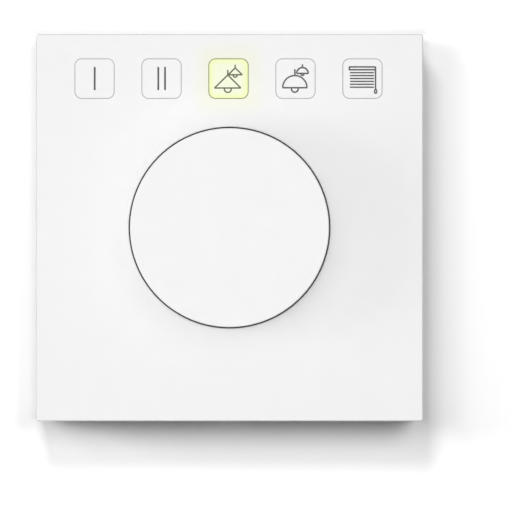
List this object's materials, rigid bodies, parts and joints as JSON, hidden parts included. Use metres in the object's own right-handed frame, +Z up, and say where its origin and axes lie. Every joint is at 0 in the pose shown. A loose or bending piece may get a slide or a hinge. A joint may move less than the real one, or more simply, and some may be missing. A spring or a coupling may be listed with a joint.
{
  "type": "dali touch panel",
  "caption": "Square white wall control panel with a row of lit touch fields and a large central rotary push knob, on a steel wall bracket with a round rear box.",
  "frame": {"origin": "centre of the wall screw pattern, on the wall face of the bracket", "axes": "+Z up, +X to the viewer's right, +Y into the wall; the front faces -Y"},
  "size_m": [0.086, 0.0407, 0.086],
  "materials": {
    "plate_white": "satin white moulded plate",
    "knob_white": "satin white moulded knob",
    "body_grey": "fine matt dark grey",
    "seal_dark": "matt dark grey",
    "tape": "foam tape",
    "foil": "polyester foil",
    "chamber_white": "reflecting white",
    "diffuser": "frosted",
    "led_white": "lamp body",
    "circuit_board": "green solder mask",
    "chip_black": "moulded black",
    "connector_black": "moulded black",
    "contact_metal": "gold plated",
    "bushing_metal": "nickel plated",
    "screw_steel": "zinc plated",
    "spring_steel": "bright spring steel",
    "rotor_plastic": "natural acetal",
    "core_plastic": "natural white",
    "housing_grey": "light grey moulded",
    "bracket_steel": "zinc plated sheet",
    "capacitor_metal": "bare can",
    "terminal_grey": "grey moulded",
    "pusher_orange": "orange moulded"
  },
  "bodies": {
    "panel": {"front_plate": "plate_white", "plate_adhesive": "tape", "dust_ring": "seal_dark", "touch_foil": "foil", "foil_socket": "connector_black", "light_box": "chamber_white", "icon_diffuser_1": "diffuser", "icon_diffuser_2": "diffuser", "icon_diffuser_3": "diffuser", "icon_diffuser_4": "diffuser", "icon_diffuser_5": "diffuser", "icon_led_1": "led_white", "icon_led_2": "led_white", "icon_led_3": "led_white", "icon_led_4": "led_white", "icon_led_5": "led_white", "carrier_frame": "body_grey", "main_board": "circuit_board", "board_screws": "screw_steel", "touch_chip": "chip_black", "control_chip": "chip_black", "encoder_housing": "connector_black", "encoder_clamp": "spring_steel", "encoder_pins": "contact_metal", "encoder_bushing": "bushing_metal", "encoder_washer": "screw_steel", "encoder_nut": "bushing_metal", "switch_dome": "spring_steel", "rear_plate": "housing_grey", "rear_box": "housing_grey", "housing_screws": "screw_steel", "wall_bracket": "bracket_steel", "link_socket": "connector_black", "link_header": "connector_black", "link_pins": "contact_metal", "bus_board": "circuit_board", "bus_board_screws": "screw_steel", "rectifier": "chip_black", "optocoupler_1": "chip_black", "optocoupler_2": "chip_black", "buffer_capacitor": "capacitor_metal", "terminal_block": "terminal_grey", "terminal_pins": "contact_metal", "terminal_clamp_1": "spring_steel", "terminal_clamp_2": "spring_steel"},
    "rotor": {"encoder_rotor": "rotor_plastic"},
    "knob": {"encoder_shaft": "bushing_metal", "shaft_circlip": "spring_steel", "knob_core": "core_plastic", "knob_clip": "spring_steel", "knob_shell": "knob_white"},
    "pusher_1": {"terminal_pusher_1": "pusher_orange"},
    "pusher_2": {"terminal_pusher_2": "pusher_orange"}
  },
  "joints": [
    {"name": "knob_turn", "type": "hinge", "parent": "panel", "child": "rotor", "pos_m": [0, 0, 0], "axis": [0, -1, 0], "continuous": true},
    {"name": "knob_push", "type": "slide", "parent": "rotor", "child": "knob", "axis": [0, 1, 0], "range_m": [0, 0.0005], "stiffness_N_per_m": 5000, "deforming": ["switch_dome"]},
    {"name": "terminal_push_1", "type": "slide", "parent": "panel", "child": "pusher_1", "axis": [0, -1, 0], "range_m": [0, 0.0012], "stiffness_N_per_m": 4000, "deforming": ["terminal_clamp_1"]},
    {"name": "terminal_push_2", "type": "slide", "parent": "panel", "child": "pusher_2", "axis": [0, -1, 0], "range_m": [0, 0.0012], "stiffness_N_per_m": 4000, "deforming": ["terminal_clamp_2"]}
  ]
}
